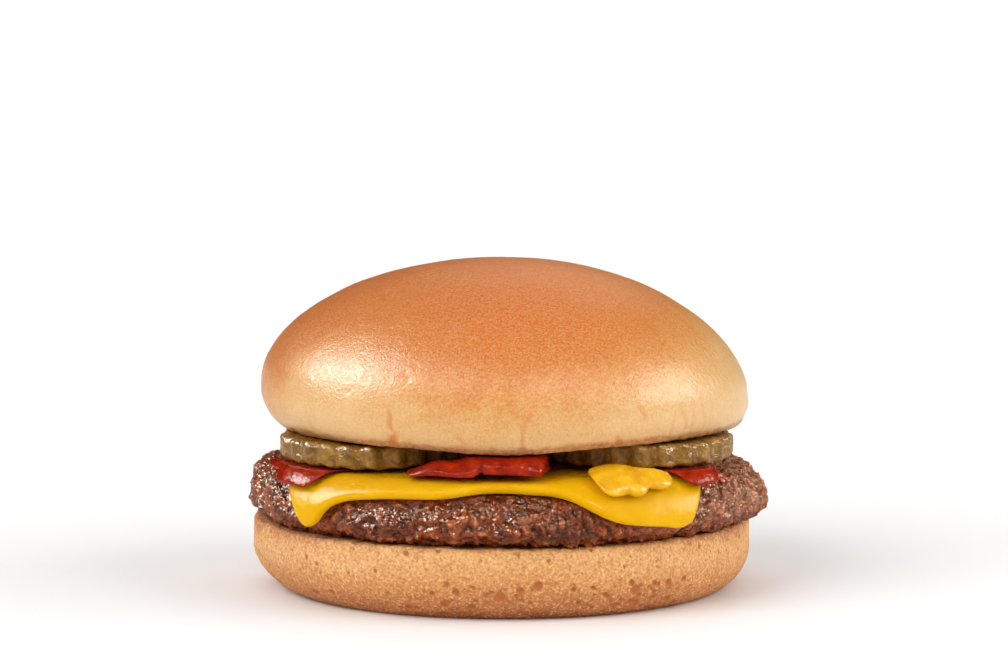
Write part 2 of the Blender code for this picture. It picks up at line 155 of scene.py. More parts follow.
# Lobes of a sauce: direction, half width and width of the flanks in degrees, reach of the tip in mm
KETCHUP_LOBES = (
    (-89, 15, 9, 48.2),
    (-105, 18, 11, 48.8),
    (-142, 22, 18, 52.0),
    (-151, 19, 15, 50.4),
    (-168, 22, 18, 44.5),
    (-43.5, 17, 14, 51.4),
    (-32, 14, 12, 46.5),
    (27, 18, 15, 47.5),
    (92, 15, 12, 40.6),
    (157, 21, 16, 48.0),
)
# Swells of a sauce: place along X and Y, radius and height, in mm
KETCHUP_SWELLS = (
    (-13.5, -45.5, 4.2, 3.0),
    (-5.5, -44.5, 4.0, 5.5),
    (0.5, -44.5, 5.0, 6.5),
    (6.0, -43.0, 4.0, 5.5),
    (-40.0, -31.0, 6.0, 1.8),
    (-43.0, -15.0, 5.5, 1.2),
    (36.5, -34.0, 5.5, 2.0),
    (40.0, -20.0, 5.0, 1.2),
    (-1.5, 38.5, 6.0, 4.8),
    (-43.5, 18.0, 6.5, 1.9),
    (43.0, 21.0, 6.5, 2.2),
)

DROP_SEGMENTS, DROP_RINGS = 28, 14
# Place along X and Y and radius of each drop, in mm
SAUCE_DROPS = (
    (39.6, -25.6, 1.2),
    (40.8, -23.8, 1.4),
    (41.8, -22.0, 1.0),
    (39.1, -27.6, 0.9),
    (42.6, -24.6, 0.7),
    (41.0, -27.2, 0.6),
    (43.2, -22.4, 0.6),
    (42.4, -20.0, 0.6),
)

MUSTARD_FILM = 0.9 * MM
MUSTARD_REACH = 3.9 * MM
MUSTARD_CENTRE = (22.3 * MM, -42.0 * MM)
MUSTARD_SEGMENTS, MUSTARD_RINGS = 220, 70
MUSTARD_LOBES = ((27, 48, 40, 8.6), (-150, 62, 50, 7.2))
MUSTARD_SWELLS = ((21.8, -43.2, 4.6, 0.9), (27.9, -40.0, 2.6, 0.7))
# The fold along the front: places of the swells that make it, and their radius and height, in mm
MUSTARD_FOLD = ((31.0, -40.6), (29.6, -41.8), (28.0, -43.0), (26.2, -44.2), (24.2, -45.2), (22.0, -45.8))
MUSTARD_FOLD_RADIUS, MUSTARD_FOLD_HEIGHT = 1.3, 0.45

# How deep light scatters in food, and how far its red, green and blue go in each kind
SCATTER_DEPTH = 2.0 * MM
BREAD_SCATTER = (1.0, 0.5, 0.25)
YELLOW_SCATTER = (1.0, 0.7, 0.2)
PICKLE_SCATTER = (0.8, 1.0, 0.3)

WHITE = (1.0, 1.0, 1.0)
PALE_WARM = (1.0, 0.97, 0.92)
WARM = (1.0, 0.93, 0.84)
WORLD_STRENGTH = 0.42
# Soft round lights: name, direction, strength, spread in degrees, colour, and if it only shows as a highlight
SUNS = (
    ("left", (-0.58, -0.55, 0.60), 1.7, 45.0, WHITE, False),
    ("right", (0.85, -0.30, 0.43), 1.6, 60.0, WHITE, False),
    ("top", (0.05, 0.30, 0.95), 0.5, 50.0, WHITE, False),
    ("left gloss", (-0.83, 0.02, 0.56), 11.5, 30.0, PALE_WARM, True),
    ("right gloss", (0.91, 0.02, 0.40), 4.6, 26.0, WARM, True),
    ("back gloss", (0.10, 0.86, 0.49), 0.15, 26.0, WARM, True),
    ("front glint left", (-0.30, -0.64, 0.71), 2.2, 9.0, WARM, True),
    ("front glint right", (0.38, -0.60, 0.70), 2.2, 9.0, WARM, True),
)
FLOOR_HALF_WIDTH = 12.0

IMAGE_WIDTH_PIXELS = 1008.0
FOCAL_LENGTH_PIXELS = 4423.0
SENSOR_WIDTH_MM = 36.0
CAMERA_DISTANCE = 0.9
CAMERA_RISE_DEGREES = 7.5
CAMERA_DIP_DEGREES = 6.196
CAMERA_PIVOT_X = 0.0004
CAMERA_PIVOT_Z = 0.030


# Small helpers


def smooth(t):
    t = min(max(t, 0.0), 1.0)
    return t * t * (3.0 - 2.0 * t)


def mix(a, b, t):
    return a + (b - a) * t


def polar(x, y):
    """Distance from the middle, and direction in radians."""
    return math.hypot(x, y), math.atan2(y, x)


def turn_from(line, angle):
    """The shorter way round from one direction to another, with its sign, in radians."""
    return (angle - line + math.pi) % (2.0 * math.pi) - math.pi


def bump(angle, centre, width):
    """1 at the middle of a rounded hill and 0 far from it, for an angle in radians and a hill in degrees."""
    away = turn_from(math.radians(centre), angle)
    return math.exp(-((away / math.radians(width)) ** 2))


def ripple(p, size, seed):
    """Smooth noise at the point p, from about -1 to 1, in waves of that size."""
    x, y, z = p
    return noise.noise(Vector((x / size + seed, y / size + 2.7 * seed, z / size - seed)))


def nearest_cell(p, size, seed):
    """Distance to the middle of the nearest cell, and that middle, in cells of that size."""
    found, centres = noise.voronoi(Vector((p.x / size + seed, p.y / size - seed, p.z / size + 3.1 * seed)))
    return found[0], centres[0]


def between(table, at):
    """The table's value at that place, eased from each of its rows to the next."""
    for (a, start), (b, end) in zip(table, table[1:]):
        if at <= b:
            return mix(start, end, smooth((at - a) / (b - a)))
    return table[-1][1]


def arc_points(centre, radii, start, end, count):
    turns = [math.radians(mix(start, end, i / count)) for i in range(count + 1)]
    return [(centre[0] + radii[0] * math.cos(t), centre[1] + radii[1] * math.sin(t)) for t in turns]


def along(start, end, count):
    return [(mix(start[0], end[0], i / count), mix(start[1], end[1], i / count)) for i in range(count)]


def resample(profile, spacing):
    """The same profile with points about spacing(r, z) apart, ends kept."""
    made = [profile[0]]
    for (r0, z0), (r1, z1) in zip(profile, profile[1:]):
        length = math.hypot(r1 - r0, z1 - z0)
        count = max(1, round(length / spacing(0.5 * (r0 + r1), 0.5 * (z0 + z1))))
        made += [(mix(r0, r1, i / count), mix(z0, z1, i / count)) for i in range(1, count + 1)]
    return made


def srgb(red, green, blue):
    """A colour given from 0 to 255 as seen on a screen, as linear light."""
    shares = [c / 255.0 for c in (red, green, blue)]
    return [c / 12.92 if c <= 0.04045 else ((c + 0.055) / 1.055) ** 2.4 for c in shares] + [1.0]


def ball_profile(rings):
    """Profile of a ball of radius 1, from top to bottom."""
    turns = [math.pi * i / rings for i in range(rings + 1)]
    return [(math.sin(t), math.cos(t)) for t in turns]


def from_mesh_data(name, points, faces):
    mesh = bpy.data.meshes.new(name)
    mesh.from_pydata(points, [], faces)
    mesh.update()
    obj = bpy.data.objects.new(name, mesh)
    bpy.context.scene.collection.objects.link(obj)
    return obj


def turned_mesh(profile, steps, move):
    """Points and faces of a profile of (radius, height) points, top to bottom, turned about Z.

    Each point is put where move says.
    """
    points = [move(Vector((0.0, 0.0, profile[0][1])))]
    for radius, height in profile[1:-1]:
        for i in range(steps):
            turn = 2.0 * math.pi * i / steps
            points.append(move(Vector((radius * math.cos(turn), radius * math.sin(turn), height))))
    points.append(move(Vector((0.0, 0.0, profile[-1][1]))))
    last = len(points) - 1
    rings = len(profile) - 2
    faces = [(0, 1 + i, 1 + (i + 1) % steps) for i in range(steps)]
    for ring in range(rings - 1):
        a, b = 1 + ring * steps, 1 + (ring + 1) * steps
        for i in range(steps):
            j = (i + 1) % steps
            faces.append((a + i, b + i, b + j, a + j))
    end = 1 + (rings - 1) * steps
    faces += [(last, end + (i + 1) % steps, end + i) for i in range(steps)]
    return points, faces


def turned(name, profile, steps, move):
    return from_mesh_data(name, *turned_mesh(profile, steps, move))


def attribute(obj, name, values):
    layer = obj.data.attributes.new(name, "FLOAT", "POINT")
    layer.data.foreach_set("value", values)


def push(obj, amount):
    """Moves each vertex along its normal by amount(point, normal) and returns the amounts."""
    normals = [vertex.normal.copy() for vertex in obj.data.vertices]
    moved = []
    for vertex, normal in zip(obj.data.vertices, normals):
        step = amount(vertex.co, normal)
        vertex.co += normal * step
        moved.append(step)
    obj.data.update()
    return moved


# Forms shared by the layers, as in the CAD source


def patty_flat(angle):
    """Radius of the patty's flat top."""
    soft = 2.2 * MM * bump(angle, -65.0, 18.0)
    soft += 1.6 * MM * bump(angle, 0.0, 30.0)
    square = 1.8 * MM * bump(angle, 180.0, 22.0)
    return PATTY_FLAT_RADIUS - soft + square


def patty_wide(angle):
    """Radius of the patty at its widest."""
    left = 0.4 * MM * bump(angle, 180.0, 40.0)
    return PATTY_RADIUS - left + 0.5 * MM * ripple((math.cos(angle), math.sin(angle), 0.0), 0.55, 4.0)


def wave(x, y):
    """How far the patty's top and all that lies on it rise and fall."""
    left = bump(math.atan2(y, x), 180.0, 20.0)
    rise = 1.3 * MM * left * smooth((math.hypot(x, y) - 44.5 * MM) / (6.0 * MM))
    return 0.3 * MM * ripple((x, y, 0.0), 17.0 * MM, 1.3) + rise


def rim_bend(across, down):
    """Length of a quarter of an ellipse with these half axes, closely."""
    root = math.sqrt((3.0 * across + down) * (across + 3.0 * down))
    return math.pi / 4.0 * (3.0 * (across + down) - root)


def drape(x, y, lift):
    """Where a point of a flat sheet comes to lie on the patty's top and rim, raised off it by lift."""
    reach, angle = polar(x, y)
    flat = patty_flat(angle)
    across, down = patty_wide(angle) - flat, PATTY_TOP - PATTY_WAIST
    bend = rim_bend(across, down)
    turn = min(max((reach - flat) / bend, 0.0), 1.0) * math.pi / 2.0
    radius = min(reach, flat) + across * math.sin(turn)
    height = PATTY_TOP - down * (1.0 - math.cos(turn)) - max(reach - flat - bend, 0.0)
    slope = math.hypot(math.sin(turn) / across, math.cos(turn) / down)
    radius += lift * math.sin(turn) / across / slope
    height += lift * math.cos(turn) / down / slope
    return Vector((PATTY_X + radius * math.cos(angle), radius * math.sin(angle), height + wave(x, y)))


def cheese_creep(x):
    return sum(creep * MM * math.exp(-(((x / MM - at) / width) ** 2)) for at, width, creep in CHEESE_CREEP)


def inside_slice(x, y):
    """How far inside the cheese's outline the point of the flat sheet lies. Outside it's below 0."""
    side = CHEESE_HALF_WIDTH - abs(x - CHEESE_CENTRE[0])
    front = CHEESE_HALF_DEPTH + cheese_creep(x) + y - CHEESE_CENTRE[1]
    back = CHEESE_HALF_DEPTH - y + CHEESE_CENTRE[1]
    return min(side, front, back)


def cheese_lift(x, y):
    """How high over the patty the sauces lie, on the cheese and beside it."""
    reach, angle = polar(x, y)
    bend = smooth((reach - patty_flat(angle) + 5.0 * MM) / (4.0 * MM))
    on_slice = CHEESE_THICKNESS + (2.4 + 2.2 * bend) * GAP
    return mix(2.0 * GAP, on_slice, smooth((inside_slice(x, y) + 6.0 * MM) / (3.5 * MM)))


def lobed(angle, base, lobes):
    """Reach of a sauce in that direction."""
    reach = base
    for direction, width, flank, tip in lobes:
        away = abs((math.degrees(angle) - direction + 180.0) % 360.0 - 180.0)
        reach = max(reach, mix(base, tip * MM, smooth((width - away) / flank)))
    return reach


def crown_bottom(x, y):
    radius, angle = polar(x, y)
    sag = 0.9 * MM * bump(angle, -91.0, 16.0)
    sag += 0.5 * MM * bump(angle, 93.0, 14.0)
    lift = 0.3 * MM * bump(angle, -40.0, 25.0)
    return CROWN_BOTTOM + (lift - sag) * smooth((radius - 34.0 * MM) / (10.0 * MM))


def pickle_clearance(x, y):
    return min(math.hypot(x - px, y - py) - radius for px, py, radius in PICKLES.values())


def pickle_droop(x, y):
    front = bump(math.atan2(y, x), -122.0, 16.0)
    return PICKLE_DROOP * front * smooth((math.hypot(x, y) - 38.0 * MM) / (6.0 * MM))


def openness(x, y):
    """0 under a pickle and 1 well clear of them all."""
    return smooth((pickle_clearance(x, y) - 2.9 * MM) / (3.0 * MM))


def held_down(x, y, height, under):
    """The height, eased to stay under the pickles and the crown, by the gap and by under more."""
    free = openness(x, y)
    limit = mix(PICKLE_BOTTOM - pickle_droop(x, y), crown_bottom(x, y), free) - GAP - under
    soft = mix(0.02, 1.3, free) * MM
    over = height - (limit - soft)
    return height if over <= 0.0 else limit - soft * math.exp(-over / soft)


# Pieces


def heel_pore(p):
    """Depth of the crumb's pores: round hollows of several sizes, most of them low on the side."""
    depth = 0.0
    low = 1.0 - smooth((p.z - 4.0 * MM) / (7.0 * MM))
    patch = smooth(0.5 + 1.1 * ripple(p, 13.0 * MM, 3.3))
    many = max(0.3, 1.5 * low * patch)
    for size, seed, radius, deep in HEEL_PORES:
        near, centre = nearest_cell(p, size, seed)
        draw = 0.5 + 0.8 * noise.noise(centre * 7.31)
        wide = radius * (0.2 + draw) * (0.35 + 0.75 * many)
        depth = max(depth, deep * smooth(1.7 * (1.0 - near * size / max(wide, 0.05 * MM))))
    return depth


def heel():
    wide = HEEL_RADIUS - HEEL_FOOT_RADIUS
    corner = []
    for i in range(HEEL_CORNER_STEPS + 1):
        t = math.radians(90.0 * i / HEEL_CORNER_STEPS)
        radius = HEEL_FOOT_RADIUS + wide * max(math.cos(t), 0.0) ** 1.5
        corner.append((radius, HEEL_CORNER * (1.0 - math.sin(t))))
    lip_centre = (HEEL_RADIUS - HEEL_LIP, HEEL_HEIGHT - HEEL_LIP)
    lip = arc_points(lip_centre, (HEEL_LIP, HEEL_LIP), 90, 0, count=6)
    profile = [(0.0, HEEL_HEIGHT)] + lip + corner + [(0.0, 0.0)]

    def spacing(radius, height):
        return 6.0 * MM if radius < 42.0 * MM else 0.36 * MM

    def move(p):
        share = min(math.hypot(p.x, p.y) / HEEL_RADIUS, 1.0)
        swell = 0.010 * ripple(p, 24.0 * MM, 2.0) * share
        on_cut = p.z > HEEL_HEIGHT - 0.1 * MM
        fall = 0.3 * MM * abs(ripple((p.x, p.y, 0.0), 9.0 * MM, 5.0)) if on_cut else 0.0
        shift = HEEL_FOOT_SHIFT * (1.0 - smooth(p.z / HEEL_CORNER)) * share
        return Vector((p.x * (1.0 + swell) + shift, p.y * (1.0 + swell), p.z - fall))

    obj = turned("heel_bun", resample(profile, spacing), HEEL_STEPS, move)

    def crumb(p, normal):
        if p.z < 0.4 * MM:
            return 0.0
        side = smooth((math.hypot(p.x, p.y) - 43.0 * MM) / (3.0 * MM))
        grain = 0.10 * MM * ripple(p, 1.1 * MM, 6.0) + 0.06 * MM * ripple(p, 0.6 * MM, 8.0)
        rag = 0.22 * MM * ripple(p, 1.6 * MM, 9.0) * smooth((p.z - 12.8 * MM) / (1.2 * MM))
        return side * (grain + rag - heel_pore(p))

    moved = push(obj, crumb)
    attribute(obj, "relief", [m / MM for m in moved])
    angles = [math.atan2(v.co.y, v.co.x) for v in obj.data.vertices]
    attribute(obj, "front", [bump(a, -88.0, 38.0) for a in angles])
    return obj


def patty_reach(p):
    """Where the point of the patty's surface lay before the sheet over it was draped."""
    angle = math.atan2(p.y, p.x - PATTY_X)
    flat, down = patty_flat(angle), PATTY_TOP - PATTY_WAIST
    fall = min(max((PATTY_TOP - p.z) / down, 0.0), 1.0)
    reach = math.hypot(p.x - PATTY_X, p.y)
    if reach > flat:
        reach = flat + rim_bend(patty_wide(angle) - flat, down) * math.acos(1.0 - fall) / (math.pi / 2.0)
    return reach * math.cos(angle), reach * math.sin(angle)


def meat(p):
    """Height of the crumbled meat, from about -1 in the creases to 1 on the lumps."""
    warp = [ripple(p, 2.6 * MM, seed) for seed in (11.0, 13.0, 14.0)]
    q = p + Vector(warp) * 1.1 * MM
    height = -1.9
    for size, seed, share in PATTY_GRAIN:
        height += 2.4 * share * abs(ripple(q, size * MM, seed)) ** 0.8
    return height


def patty():
    across, down = PATTY_RADIUS - PATTY_FLAT_RADIUS, PATTY_TOP - PATTY_WAIST
    upper = arc_points((PATTY_FLAT_RADIUS, PATTY_WAIST), (across, down), 90, 0, count=28)
    low = (PATTY_RADIUS - PATTY_FOOT_RADIUS, PATTY_WAIST - PATTY_BOTTOM)
    lower = arc_points((PATTY_FOOT_RADIUS, PATTY_WAIST), low, 0, -90, count=18)[1:]
    inner = (PATTY_FLAT_RADIUS - 8.0 * MM, PATTY_TOP)
    profile = along((0.0, PATTY_TOP), inner, count=5) + along(inner, upper[0], count=22) + upper + lower
    profile += along((PATTY_FOOT_RADIUS, PATTY_BOTTOM), (0.0, PATTY_BOTTOM), count=3)[1:]
    profile.append((0.0, PATTY_BOTTOM))

    def move(p):
        radius, angle = polar(p.x, p.y)
        flat, wide = patty_flat(angle), patty_wide(angle)
        if p.z < PATTY_WAIST:
            radius *= wide / PATTY_RADIUS
            return Vector((PATTY_X + radius * math.cos(angle), radius * math.sin(angle), p.z))
        if radius <= PATTY_FLAT_RADIUS:
            reach = radius * flat / PATTY_FLAT_RADIUS
        else:
            turn = math.asin(min((radius - PATTY_FLAT_RADIUS) / across, 1.0))
            reach = flat + rim_bend(wide - flat, down) * turn / (math.pi / 2.0)
        return drape(reach * math.cos(angle), reach * math.sin(angle), 0.0)

    obj = turned("beef_patty", profile, PATTY_STEPS, move)

    def crag(p, normal):
        if p.z < PATTY_BOTTOM + 0.2 * MM:
            return 0.0
        lump = ripple(p, 5.2 * MM, 7.0) + 0.6 * ripple(p, 2.6 * MM, 9.0)
        bare = smooth((1.0 - normal.z) / 0.6)
        depth = mix(0.15, 1.0, bare) * PATTY_CRAG * lump
        pressed = smooth((inside_slice(*patty_reach(p)) + 4.0 * MM) / (2.0 * MM))
        return mix(depth, min(depth, 0.0) * 0.5 - PATTY_PRESSED * bare, pressed)

    push(obj, crag)

    def fine(p, normal):
        if math.hypot(p.x, p.y) < 36.0 * MM:
            return 0.0
        pressed = smooth((inside_slice(*patty_reach(p)) + 1.0 * MM) / (2.0 * MM))
        return mix(0.36, 0.08, pressed) * MM * meat(p) - 0.18 * MM * (1.0 - pressed)

    moved = push(obj, fine)
    attribute(obj, "relief", [m / (0.4 * MM) for m in moved])
    # Painted sheen: the patty's ends are painted paler where the side lights fall
    pale = []
    for vertex in obj.data.vertices:
        angle = math.atan2(vertex.co.y, vertex.co.x)
        right = bump(angle, -8.0, 34.0)
        left = 0.35 * bump(angle, 180.0, 30.0)
        pale.append((right + left) * smooth((vertex.co.z / MM - 15.5) / 4.0))
    attribute(obj, "pale", pale)
    return obj


def rounded(u, v):
    """The place on the slice, from -1 to 1 each way, moved so that the slice's corners are round."""
    major, minor = max(abs(u), abs(v)), min(abs(u), abs(v))
    radius = CHEESE_ROUND_LEFT if u < 0.0 else CHEESE_ROUND_RIGHT
    past = minor - major * (1.0 - radius)
    if past <= 0.0:
        return u, v
    turn = past / (major * radius) * math.pi / 4.0
    far = major * (1.0 - radius + radius * math.cos(turn))
    near = major * (1.0 - radius + radius * math.sin(turn))
    size = (far, near) if abs(u) >= abs(v) else (near, far)
    return math.copysign(size[0], u), math.copysign(size[1], v)


def cheese_flat(u, v, inset):
    """Where the point of the slice lies before it is draped, on an outline that is inset by so much."""
    front = smooth(-v) * v
    u, v = rounded(u, v)
    x, y = u * (CHEESE_HALF_WIDTH - inset), v * (CHEESE_HALF_DEPTH - inset)
    return x, y + front * cheese_creep(x + CHEESE_CENTRE[0])


def cheese():
    """Top and bottom grids joined by a rounded edge, laid over the patty."""
    count, edge = CHEESE_STEPS, CHEESE_EDGE

    def place(x, y, z):
        x, y = CHEESE_CENTRE[0] + x, CHEESE_CENTRE[1] + y
        soft = 0.10 * MM * ripple((x, y, 0.0), 6.0 * MM, 21.0)
        rise = z / CHEESE_THICKNESS * soft
        return drape(x, y, GAP + z + rise)

    points, faces, index = [], [], {}
    for level, z in (("top", CHEESE_THICKNESS), ("bottom", 0.0)):
        for i in range(count + 1):
            for j in range(count + 1):
                u, v = 2.0 * i / count - 1.0, 2.0 * j / count - 1.0
                index[level, i, j] = len(points)
                points.append(place(*cheese_flat(u, v, edge), z))
        for i in range(count):
            for j in range(count):
                ring = [(i, j), (i + 1, j), (i + 1, j + 1), (i, j + 1)]
                face = [index[level, a, b] for a, b in ring]
                faces.append(face if level == "top" else face[::-1])
    rim = [(i, 0) for i in range(count)] + [(count, j) for j in range(count)]
    rim += [(count - i, count) for i in range(count)] + [(0, count - j) for j in range(count)]
    loops = [[index["top", i, j] for i, j in rim]]
    for k in range(1, CHEESE_EDGE_STEPS):
        turn = math.pi * k / CHEESE_EDGE_STEPS
        level = CHEESE_THICKNESS / 2.0 * (1.0 + math.cos(turn))
        loop = []
        for i, j in rim:
            u, v = 2.0 * i / count - 1.0, 2.0 * j / count - 1.0
            inner, outer = cheese_flat(u, v, edge), cheese_flat(u, v, 0.0)
            share = math.sin(turn) ** 0.8
            loop.append(len(points))
            points.append(place(mix(inner[0], outer[0], share), mix(inner[1], outer[1], share), level))
        loops.append(loop)
    loops.append([index["bottom", i, j] for i, j in rim])
    for upper, lower in zip(loops, loops[1:]):
        for k in range(len(rim)):
            n = (k + 1) % len(rim)
            faces.append((upper[k], lower[k], lower[n], upper[n]))
    return from_mesh_data("cheese_slice", points, faces)


def sauce(name, segments, rings, centre, reach_at, film, swells, grain):
    """A ball spread to a puddle of the given outline and swells on the cheese and patty."""

    def thickness_at(x, y):
        thickness = film
        for sx, sy, radius, height in swells:
            away = math.hypot(x - sx * MM, y - sy * MM) / (radius * MM)
            thickness += height * MM * math.exp(-(away**2))
        return thickness * (1.0 + grain * ripple((x, y, 0.0), 4.0 * MM, 31.0))

    def move(p):
        share, angle = min(math.hypot(p.x, p.y), 1.0) ** 0.65, math.atan2(p.y, p.x)
        reach = reach_at(angle) * share
        x, y = centre[0] + reach * math.cos(angle), centre[1] + reach * math.sin(angle)
        rise = 0.25 + 0.75 * math.sqrt(p.z) if p.z > 0.0 else 0.25 * (1.0 + p.z) ** 5
        placed = drape(x, y, cheese_lift(x, y) + thickness_at(x, y) * rise)
        placed.z = held_down(placed.x, placed.y, placed.z, 0.25 * MM * (1.0 - rise))
        return placed

    return turned(name, ball_profile(rings), segments, move)


def ketchup():
    def reach_at(angle):
        return lobed(angle, KETCHUP_REACH, KETCHUP_LOBES)

    fineness = (KETCHUP_SEGMENTS, KETCHUP_RINGS)
    return sauce("ketchup_layer", *fineness, (0.0, 0.0), reach_at, KETCHUP_FILM, KETCHUP_SWELLS, grain=0.05)


def mustard():
    def reach_at(angle):
        return lobed(angle, MUSTARD_REACH, MUSTARD_LOBES)

    fold = tuple((x, y, MUSTARD_FOLD_RADIUS, MUSTARD_FOLD_HEIGHT) for x, y in MUSTARD_FOLD)
    swells = MUSTARD_SWELLS + fold
    fineness = (MUSTARD_SEGMENTS, MUSTARD_RINGS)
    return sauce("mustard_blob", *fineness, MUSTARD_CENTRE, reach_at, MUSTARD_FILM, swells, grain=0.04)


def sauce_drop(x, y, radius):
    """Points and faces of one small lump of sauce, with its place and radius in mm."""

    def move(p):
        size = radius * (1.0 + 0.3 * ripple(p, 0.7, x))
        return drape((x + size * p.x) * MM, (y + size * p.y) * MM, (0.25 + 0.5 * size * p.z) * MM)

    return turned_mesh(ball_profile(DROP_RINGS), DROP_SEGMENTS, move)


def sauce_drops():
    """Small lumps of sauce on the patty's rim, beside the ketchup's right lobe, as one piece."""
    points, faces = [], []
    for x, y, radius in SAUCE_DROPS:
        drop_points, drop_faces = sauce_drop(x, y, radius)
        start = len(points)
        points += drop_points
        faces += [[start + i for i in face] for face in drop_faces]
    return from_mesh_data("sauce_drops", points, faces)


def pickle(name, x, y, radius):
    top, edge = PICKLE_THICKNESS, PICKLE_EDGE
    profile = [(0.0, top)] + arc_points((radius - edge, top - edge), (edge, edge), 90, 0, count=6)
    profile += arc_points((radius - edge, edge), (edge, edge), 0, -90, count=6) + [(0.0, 0.0)]

    def spacing(reach, height):
        return 0.45 * MM if reach > radius - 4.0 * MM else 1.2 * MM

    def move(p):
        reach, angle = polar(p.x, p.y)
        outer = smooth((reach / radius - 0.9) / 0.08)
        rib = PICKLE_RIB_DEPTH * (math.cos(PICKLE_RIBS * angle) - 1.0)
        wart = 0.12 * MM * ripple((p.x, p.y, p.z + x), 1.5 * MM, 17.0)
        reach += outer * (rib + wart + 0.4 * MM * ripple((p.x, p.y, x), 12.0 * MM, 6.0))
        px, py = x + reach * math.cos(angle), y + reach * math.sin(angle)
        ruffle = 0.22 * MM * outer * math.cos(PICKLE_RIBS * angle + 1.0)
        dish = 0.10 * MM * (1.0 - outer) * ripple((p.x, p.y, p.z + x), 2.2 * MM, 19.0)
        return Vector((px, py, PICKLE_BOTTOM + p.z - pickle_droop(px, py) + ruffle + dish))

    return turned(name, resample(profile, spacing), PICKLE_STEPS_A_RIB * PICKLE_RIBS, move)


def crown_crease(angle, height):
    """How deep in a crease of the crust the point lies, in metres."""
    depth = 0.0
    for direction, low, high, deep, width, slant in CROWN_CREASES:
        along_it = (height / MM - low) / (high - low)
        if not -0.1 < along_it < 1.3:
            continue
        line = math.radians(direction + slant * along_it + 0.6 * math.sin(5.0 * along_it + direction))
        ends = smooth((along_it + 0.1) / 0.25) * smooth((1.25 - along_it) / 0.8)
        away = turn_from(line, angle) * CROWN_RADIUS
        depth += 1.5 * deep * MM * ends * math.exp(-((away / (width * MM)) ** 2))
    return depth


def crown():
    def spacing(radius, height):
        if height > CROWN_BOTTOM + 14.0 * MM:
            return 1.0 * MM
        if height > CROWN_BOTTOM:
            return 0.45 * MM
        return 0.9 * MM if radius > 38.0 * MM else 4.0 * MM

    rise, over = CROWN_TOP - CROWN_WAIST, CROWN_RADIUS - CROWN_CUT_RADIUS
    dome = []
    for i in range(CROWN_DOME_STEPS + 1):
        level = math.cos(math.pi / 2.0 * i / CROWN_DOME_STEPS)
        radius = CROWN_RADIUS * math.sqrt(max(1.0 - level**CROWN_POWER, 0.0))
        dome.append((radius, CROWN_WAIST + rise * level))
    under = []
    for i in range(1, CROWN_UNDER_STEPS + 1):
        down = i / CROWN_UNDER_STEPS
        under.append((CROWN_RADIUS - over * down**2.5, mix(CROWN_WAIST, CROWN_BOTTOM, down)))
    inner = (38.0 * MM, CROWN_BOTTOM)
    profile = resample(dome + under + [inner, (0.0, CROWN_BOTTOM)], spacing)

    def move(p):
        share = min(math.hypot(p.x, p.y) / CROWN_RADIUS, 1.0)
        above = (p.z - CROWN_BOTTOM) / (CROWN_TOP - CROWN_BOTTOM)
        lean = -CROWN_LEAN * (p.x / CROWN_RADIUS) * smooth(above * 1.6)
        height = CROWN_BOTTOM + (p.z - CROWN_BOTTOM) * (1.0 + lean)
        height += (crown_bottom(p.x, p.y) - CROWN_BOTTOM) * (1.0 - smooth(above * 4.0))
        swell = 0.008 * ripple(p, 30.0 * MM, 8.0) * share
        shift = CROWN_X + between(CROWN_SHIFT, height)
        return Vector((shift + p.x * (1.0 + swell), p.y * (1.0 + swell), height))

    obj = turned("crown_bun", profile, CROWN_STEPS, move)

    def crust(p, normal):
        if normal.z < -0.7:
            return 0.15 * MM * ripple(p, 1.8 * MM, 23.0)
        low = 1.0 - smooth((p.z - 36.0 * MM) / (14.0 * MM))
        broad = 0.16 * MM * ripple(p, 9.0 * MM, 25.0) + 0.035 * MM * ripple(p, 3.6 * MM, 27.0)
        peel = mix(0.03, 0.02, low) * MM * ripple(p, 1.7 * MM, 29.0)
        edge = 1.0 - smooth((p.z - crown_bottom(p.x, p.y) - 0.2 * MM) / (1.5 * MM))
        rag = edge * (0.26 * MM * ripple(p, 1.5 * MM, 33.0) + 0.2 * MM * ripple(p, 4.0 * MM, 37.0))
        return broad + peel + rag - crown_crease(math.atan2(p.y, p.x), p.z)

    push(obj, crust)
    crease, brown, toast = [], [], []
    for vertex in obj.data.vertices:
        p = vertex.co
        angle = math.atan2(p.y, p.x)
        crease.append(min(crown_crease(angle, p.z) / (0.5 * MM), 1.0))
        # Height in mm at which the crust turns brown, which isn't the same all round
        # Painted light: the line lies higher, so the crust is paler, at the right where the right light falls
        line = 41.5 + 11.0 * bump(angle, -5.0, 50.0)
        line -= 7.0 * bump(angle, 175.0, 32.0)
        # Painted highlight: the line lies higher on the left, so the crust is paler under the highlight
        line += 6.5 * bump(angle, -136.0, 22.0)
        line -= 1.6 * bump(angle, -85.0, 25.0)
        line += 1.6 * ripple(p, 14.0 * MM, 35.0)
        brown.append((p.z / MM - line) / 24.0)
        edge = crown_bottom(p.x, p.y)
        rough = 0.5 * MM * ripple(p, 2.6 * MM, 39.0)
        toast.append(1.0 - smooth((p.z + rough - edge - 0.7 * MM) / (1.0 * MM)))
    attribute(obj, "crease", crease)
    attribute(obj, "brown", brown)
    attribute(obj, "toast", toast)
    return obj


# Materials


